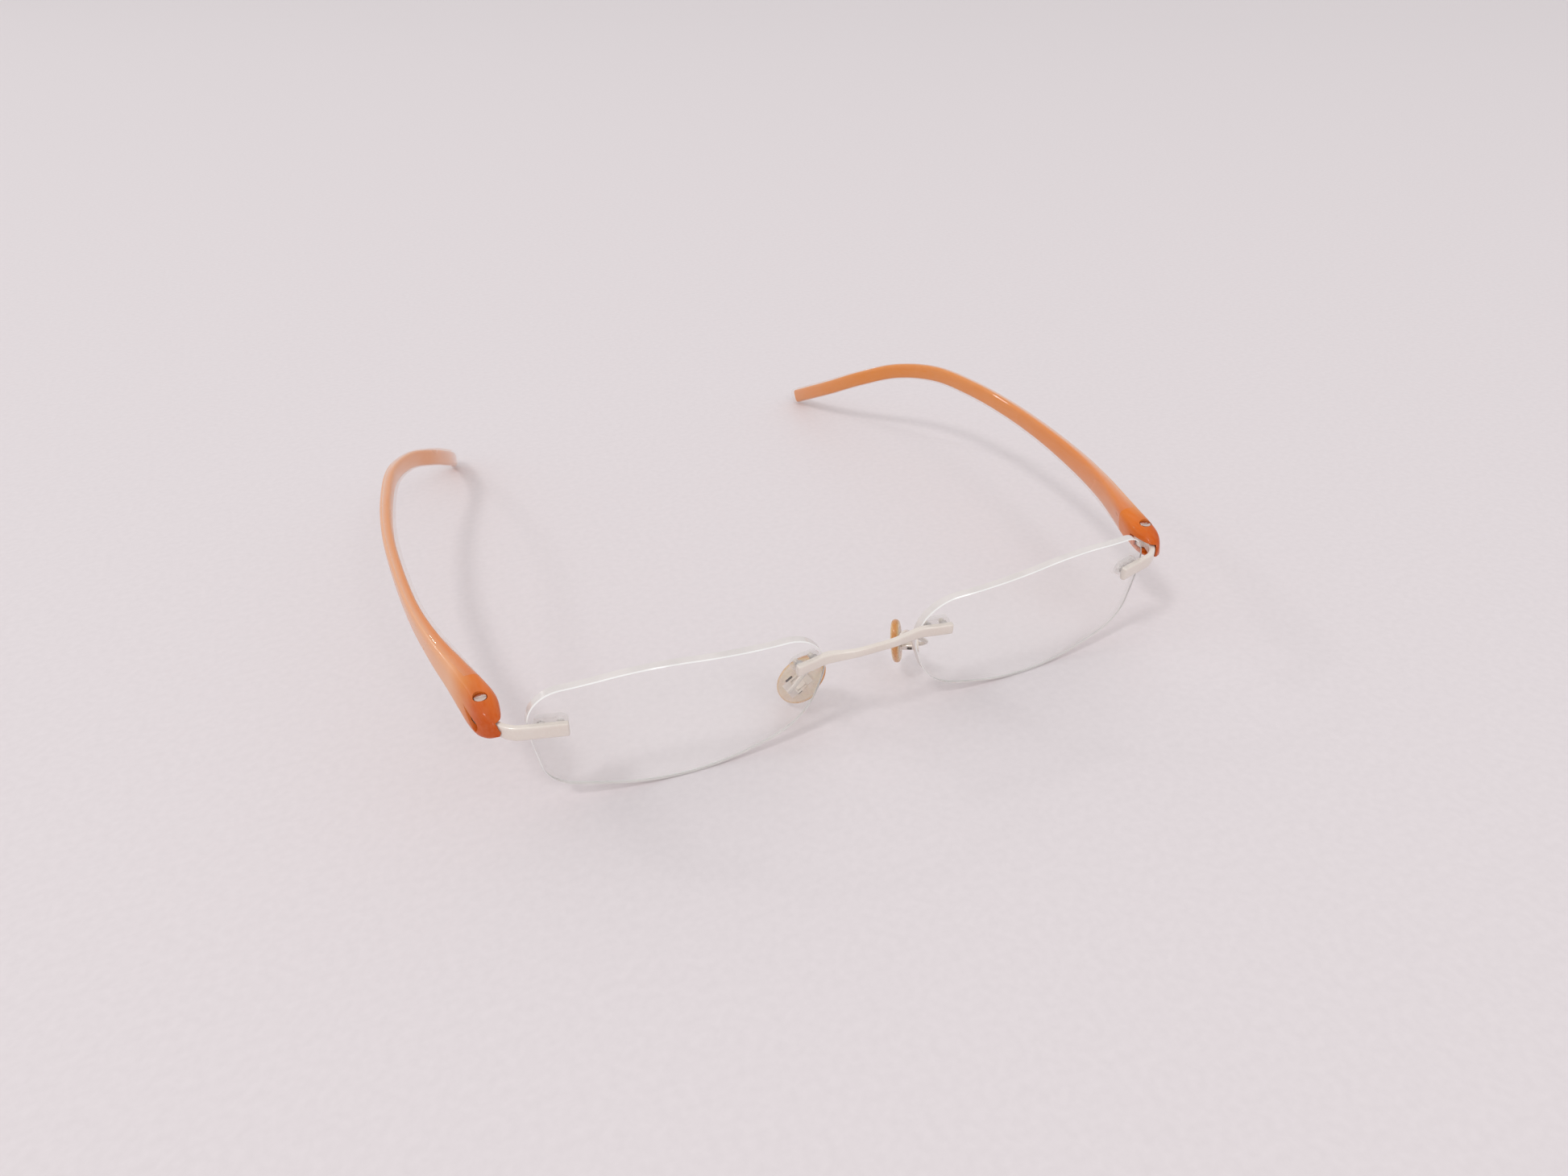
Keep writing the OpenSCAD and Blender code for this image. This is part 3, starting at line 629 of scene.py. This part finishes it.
def make_bridge():
    shape = Shape()
    other = [(-s[0], *s[1:]) for s in BRIDGE_HALF[:0:-1]]
    shape.loft(bar_rings(other + BRIDGE_HALF, 4.5, 44, 10))
    for side in (RIGHT, LEFT):
        add_pegs(shape, BRIDGE_PEGS, side)
    finish(shape, "bridge_bar", LEFT, "front", "bridge", [LACQUER])


def make_endpiece(side_name, side):
    shape = Shape()
    shape.loft(bar_rings(ENDPIECE, 4.5, 44, 10))
    add_pegs(shape, END_PEGS)
    low = TONGUE_Z - TONGUE_H / 2
    rounding = [(0, 0.15), (0.05, 0.04), (0.15, 0)]
    eye = [(up, EYE_R - less) for up, less in rounding] \
        + [(TONGUE_H - up, EYE_R - less) for up, less in rounding[::-1]]
    shape.turned(eye, (HINGE_X, HINGE_Y, low), UP, 64)
    hole = Shape().turned([(-1, TONGUE_HOLE_R), (TONGUE_H + 1, TONGUE_HOLE_R)],
                          (HINGE_X, HINGE_Y, low), UP, 40)
    finish(shape, "endpiece_bar_" + side_name, side, "front", "endpiece_" + side_name,
           [LACQUER], [hole])


# ---- Temples ----

# From the front of the head to the end of the core: x, y, z, half thickness, half height, lean
STATIONS = [
    (64.5, 2.7, 17.4, 0.25, 0.4, -14), (65.1, 4, 17.8, 1.15, 1.8, -14),
    (65.6, 6, 18.15, 1.95, 2.75, -14), (65.95, 9, 18.4, 2.35, 3.2, -14),
    (66.8, 13, 18.8, 2.2, 3.15, -12), (68.3, 19, 19.4, 1.75, 2.95, -8),
    (70.2, 27, 20, 1.35, 2.7, -4), (71.9, 38, 20.7, 1.15, 2.45, 0), (72.7, 52, 21.7, 1.1, 2.15, 0),
    (72.6, 66, 22.4, 1.1, 2, 0), (71.1, 80, 22.9, 1.1, 1.9, 0), (68.3, 93.5, 22.6, 1.05, 1.85, 0),
    (63.5, 105.5, 20, 1, 1.8, 0), (57.9, 115.6, 15.3, 1, 1.8, 0), (53.9, 125.3, 10, 1, 1.8, 0),
    (51.7, 134.3, 5.45, 1, 1.8, 0), (50.7, 141.3, 1.98, 1, 1.8, 0),
]
SQUARENESS, RING, STEPS = 3.6, 56, 8
LINER_FROM, LINER_T, CLEAR_TIP = 4.25, 0.8, 1.1
LINER_FIRST = RING * 6 // 28
LINER_LAST = LINER_FIRST + RING // 2
SLOT_H = TONGUE_H + 0.46
HEAD_TOP, HEAD_BOTTOM, COUNTERBORE = 21.55, 15.45, 0.8
HEAD_HOLE_R, SCREW_HOLE_R, NUT_DEPTH = 1.16, 0.61, 1.2
WINDOW_ROUND, WINDOW_POINT, WINDOW_R = (6.1, 17.75), (10.3, 19.2), 0.85
WINDOW_MIDDLE = (7.2, 18.15)


def core_ring(t, shrink=0.0):
    s = smooth(STATIONS, t)
    smaller = (*s[:3], s[3] - shrink, s[4] - shrink, s[5])
    return bar_ring(smaller, heading(STATIONS, t), SQUARENESS, RING)


def grown_ring(t):
    """The core's ring grown by the clear layer, which is thickest halfway up the inner side."""
    core, middle = core_ring(t), place(smooth(STATIONS, t))
    thinnest = 0.05
    thick = thinnest + (LINER_T - thinnest) * min(1, (t - LINER_FROM) / 1.5)
    out = []
    for i, p in enumerate(core):
        k = (i - LINER_FIRST) / (LINER_LAST - LINER_FIRST)
        grow = thick * math.sin(math.pi * k) ** 0.8 if 0 < k < 1 else 0
        out.append(p + (p - middle).normalized() * grow)
    return out


def tongue_room():
    """Cutters for the room of the eye and tongue, and for the taller bar in front of them."""
    gap, reach = 0.15, 12
    outer = []
    for i in range(3, len(ENDPIECE)):
        out = heading(ENDPIECE, i).cross(Vector((0, 0, 1))).normalized()
        outer.append((place(ENDPIECE[i]) + out * (BAR_T / 2 + gap)).to_2d())
    near, back = HINGE_X - reach, HINGE_Y + BAR_T / 2 + 0.6
    quadrant = [(near, HINGE_Y - reach), *outer, (HINGE_X + 0.3, back), (near, back)]
    low = TONGUE_Z - SLOT_H / 2
    bar_room_r, bar_room_h = EYE_R + 0.55, ENDPIECE_H + 0.3
    bar_low = ENDPIECE_BEND[1][2] - bar_room_h / 2
    round_hinge = [
        (HINGE_X + bar_room_r * math.cos(a), HINGE_Y + bar_room_r * math.sin(a))
        for a in (math.radians(d) for d in range(-87, -211, -3))
    ]
    return [
        Shape().prism(quadrant, low, low + SLOT_H),
        Shape().turned([(0, EYE_R + gap), (SLOT_H, EYE_R + gap)], (HINGE_X, HINGE_Y, low), UP, 64),
        Shape().prism([(near, HINGE_Y - reach), *outer[:-1], *round_hinge, (near, back)],
                      bar_low, bar_low + bar_room_h),
    ]


def teardrop(round_at, point_at, r, steps=32):
    """Outline from a round end to a point."""
    x, y = round_at
    dx, dy = point_at[0] - x, point_at[1] - y
    facing, opening = math.atan2(dy, dx), math.acos(r / math.hypot(dx, dy))
    angles = [facing + opening + (2 * math.pi - 2 * opening) * i / steps for i in range(steps + 1)]
    return [point_at] + [(x + r * math.cos(a), y + r * math.sin(a)) for a in angles]


def window_cutter():
    """Cutter for the window in the outer wall, a little wider at the surface."""
    shape = Shape()
    outline = teardrop(WINDOW_ROUND, WINDOW_POINT, WINDOW_R)
    middle = Vector(WINDOW_MIDDLE)
    rings = []
    for x, grow in ((HINGE_X - 0.2, 1.0), (HINGE_X + 1.4, 1.0), (HINGE_X + 5, 1.3)):
        rings.append([(x, *(middle + (Vector(p) - middle) * grow)) for p in outline])
    shape.loft(rings)
    return shape


def mark_inner(obj):
    """Marks each point from 0 on the outer wall of the temple to 1 on its inner wall."""
    middles = [smooth(STATIONS, i / STEPS) for i in range((len(STATIONS) - 1) * STEPS + 1)]
    mark = obj.data.attributes.new("inner", "FLOAT", "POINT")
    for i, v in enumerate(obj.data.vertices):
        y = v.co.y / MM - FRONT_Y
        m = min(middles, key=lambda s: abs(s[1] - y))
        mark.data[i].value = min(1, max(0, 0.5 + 0.5 * (m[0] - abs(v.co.x) / MM) / m[3]))


def make_temple(side_name, side):
    end = len(STATIONS) - 1
    shape = Shape()
    shape.loft([core_ring(i / STEPS) for i in range(end * STEPS + 1)])
    hinge = (HINGE_X, HINGE_Y, 0)
    bore = HEAD_TOP - COUNTERBORE
    cutters = tongue_room() + [
        window_cutter(),
        Shape().turned([(bore, HEAD_HOLE_R), (bore + 3, HEAD_HOLE_R)], hinge, UP, 48),
        Shape().turned([(10, SCREW_HOLE_R), (30, SCREW_HOLE_R)], hinge, UP, 40),
        Shape().turned([(10, HEAD_HOLE_R), (HEAD_BOTTOM + NUT_DEPTH, HEAD_HOLE_R)], hinge, UP, 48),
    ]
    body = "temple_" + side_name
    core = finish(shape, "temple_core_" + side_name, side, body, body, [TEMPLE],
                  cutters)
    mark_inner(core)

    first = math.ceil(LINER_FROM * STEPS)
    rings = []
    for i in range(first, end * STEPS + 1):
        grown, hidden = grown_ring(i / STEPS), core_ring(i / STEPS, 0.03)
        rings.append(grown[LINER_FIRST:LINER_LAST + 1] + hidden[LINER_LAST - 1:LINER_FIRST:-1])
    ahead, middle, last = heading(STATIONS, end), place(STATIONS[end]), grown_ring(end)
    # The clear end: how far along it each ring is, and its size
    for share, size in ((0.02, 1), (0.35, 1), (0.6, 0.97), (0.8, 0.9), (0.93, 0.78), (1, 0.6)):
        rings.append([middle + (last[k % RING] - middle) * size + ahead * CLEAR_TIP * share
                      for k in range(LINER_FIRST, LINER_FIRST + RING)])
    liner = Shape()
    liner.loft(rings)
    finish(liner, "temple_clear_" + side_name, side, body, "temple_liner_" + side_name,
           [CLEAR])


# ---- Nose pads ----

PAD_AT = {"right": (10.25, 8, 7.7), "left": (10.25, 9, 9)}
PAD_L, PAD_W, PAD_T, PAD_ROUND = 13.8, 7.2, 1.5, 80
PAD_LEAN, PAD_TILT, PAD_SPLAY = 37.7, -3.8, 32.6
PAD_TURN = (
    Matrix.Rotation(math.radians(-PAD_SPLAY), 3, "Z")
    @ Matrix.Rotation(math.radians(PAD_TILT), 3, "Y")
    @ Matrix.Rotation(math.radians(PAD_LEAN), 3, "X")
)
PLATE_T, PLATE_W, PLATE_L = 0.6, 2.6, 5.2
PAD_AXIS_BACK, BOX_REACH, BOX_WALL, WIRE_R = 2.5, 1.1, 0.4, 0.38


def from_pad(side_name, p):
    return Vector(PAD_AT[side_name]) + PAD_TURN @ Vector(p)


def make_pad(side_name, side):
    shape = Shape()
    layers, points = 22, 64
    rings = []
    for k in range(layers + 1):
        a = math.radians(PAD_ROUND * (2 * k / layers - 1))
        x = PAD_T / 2 * math.sin(a) / math.sin(math.radians(PAD_ROUND))
        shrink = PAD_T / 2 * (1 - math.cos(a)) * 1.05
        ring = []
        for i in range(points):
            turn, w, h = -2 * math.pi * i / points, PAD_W / 2 - shrink, PAD_L / 2 - shrink
            ring.append(from_pad(side_name, (-x, *rounded_point(turn, w, h, 2.15))))
        rings.append(ring)
    middle = [from_pad(side_name, (-PAD_T / 2 * s, 0, 0)) for s in (-1, 1)]
    inner = [[middle[0].lerp(p, s) for p in rings[0]] for s in (0.25, 0.55, 0.8)]
    outer = [[middle[1].lerp(p, s) for p in rings[-1]] for s in (0.8, 0.55, 0.25)]
    shape.loft(inner + rings + outer)
    rim = shape.bm.verts.layers.float.new("rim")
    for v in shape.bm.verts:
        local = PAD_TURN.transposed() @ (v.co - Vector(PAD_AT[side_name]))
        v[rim] = min(1, math.hypot(local.y / (PAD_W / 2), local.z / (PAD_L / 2)))
    w, h = PLATE_W / 2 + FIT_GAP, PLATE_L / 2 + FIT_GAP
    plate = ((-w, -h), (w, -h), (w, h), (-w, h))
    pocket = Shape()
    pocket.loft([[from_pad(side_name, (x, *p)) for p in plate]
                 for x in (PAD_T / 2 - PLATE_T - FIT_GAP, 2)])
    finish(shape, "nose_pad_soft_" + side_name, side, "pad_" + side_name, "nose_pad_" + side_name,
           [SILICONE], [pocket])


def make_arm(side_name, side):
    end_x = PAD_AXIS_BACK + BOX_REACH + BOX_WALL
    route = [(5.7, -0.4, 17.1), (6.2, 0.5, 17), (8, 2, 16.2), (9.8, 3.8, 14.3)] + [
        tuple(from_pad(side_name, p))
        for p in ((end_x + 1.3, 0, 1.9), (end_x + 0.75, 0, 0.35), (end_x + 0.03, 0, 0))
    ]
    shape = Shape()
    shape.loft(bar_rings([(*p, WIRE_R, WIRE_R, 0) for p in route], 2, 28, 12))
    finish(shape, "pad_arm_wire_" + side_name, side, "front", "pad_arm_" + side_name,
           [LACQUER])


# ---- Everything ----

make_bridge()
for side_name, side in SIDES.items():
    make_lens(side_name, side)
    make_endpiece(side_name, side)
    make_temple(side_name, side)
    make_pad(side_name, side)
    make_arm(side_name, side)
    dress("bridge_sleeve_" + side_name, SLEEVE, 0.06)
    dress("endpiece_sleeve_" + side_name, SLEEVE, 0.06)
    dress("hinge_screw_" + side_name, SCREW, 0.05)
    dress("hinge_nut_" + side_name, HINGE, 0.04)
    dress("hinge_washers_" + side_name, HINGE, 0.02)
    dress("pad_box_" + side_name, LACQUER, 0.06)
    dress("pad_screw_" + side_name, DARK, 0.04)
    dress("pad_insert_" + side_name, PAD_CORE, 0.04)


# ---- Stage, light and camera ----

def make_floor():
    n = Nodes("pale_table")
    grain = n.noise(700, 4.0)
    colour = n.ramp(grain, [(0.3, rgb(221, 213, 215)), (0.7, rgb(225, 217, 219))])
    shader = n.add("ShaderNodeBsdfPrincipled", {
        "Base Color": colour, "Roughness": 0.55, "Specular IOR Level": 0.3,
        "Normal": n.bump(grain, 0.02, 0.00005),
    })
    bm = bmesh.new()
    bmesh.ops.create_grid(bm, x_segments=1, y_segments=1, size=20)
    mesh = bpy.data.meshes.new("table")
    bm.to_mesh(mesh)
    bm.free()
    table = link("table", mesh, [n.surface(shader.outputs[0])])
    table.location.z = -0.00005


def area_light(name, at, size, power):
    """A round lamp aimed at the glasses."""
    light = bpy.data.lights.new(name, "AREA")
    light.shape, light.size, light.energy = "DISK", size, power
    obj = bpy.data.objects.new(name, light)
    bpy.context.scene.collection.objects.link(obj)
    obj.location = at
    obj.rotation_euler = (-Vector(at)).to_track_quat("-Z", "Y").to_euler()


CAMERA_AT = (-76.515, -136.467 + FRONT_Y, 127.904)
CAMERA_AZ, CAMERA_EL, CAMERA_ROLL, CAMERA_LENS = -23.675, 32.408, -0.846, 25.02


def make_camera():
    az, el, roll = (math.radians(a) for a in (CAMERA_AZ, CAMERA_EL, CAMERA_ROLL))
    back = Vector((math.sin(az) * math.cos(el), -math.cos(az) * math.cos(el), math.sin(el)))
    right = Vector((math.cos(az), math.sin(az), 0))
    up = back.cross(right)
    across = right * math.cos(roll) + up * math.sin(roll)
    rise = up * math.cos(roll) - right * math.sin(roll)
    camera = bpy.data.cameras.new("camera")
    camera.sensor_width, camera.lens = 36, CAMERA_LENS
    camera.clip_start, camera.clip_end = 0.005, 10
    obj = bpy.data.objects.new("camera", camera)
    bpy.context.scene.collection.objects.link(obj)
    turn = Matrix((across, rise, back)).transposed().to_4x4()
    obj.matrix_world = Matrix.Translation(Vector(CAMERA_AT) * MM) @ turn
    bpy.context.scene.camera = obj


def make_world():
    world = bpy.data.worlds.new("studio")
    bpy.context.scene.world = world
    world.use_nodes = True
    sky = world.node_tree.nodes["Background"]
    sky.inputs["Color"].default_value = (1, 0.995, 1, 1)
    sky.inputs["Strength"].default_value = 0.815
    bpy.context.scene.view_settings.view_transform = "Standard"


make_floor()
make_world()
area_light("key", (-1.45, -0.7, 2.35), 0.45, 13)
area_light("front", (0.3, -2.3, 1.9), 0.8, 7)
area_light("rim", (-1.75, 1.9, 1.45), 0.2, 4)
make_camera()
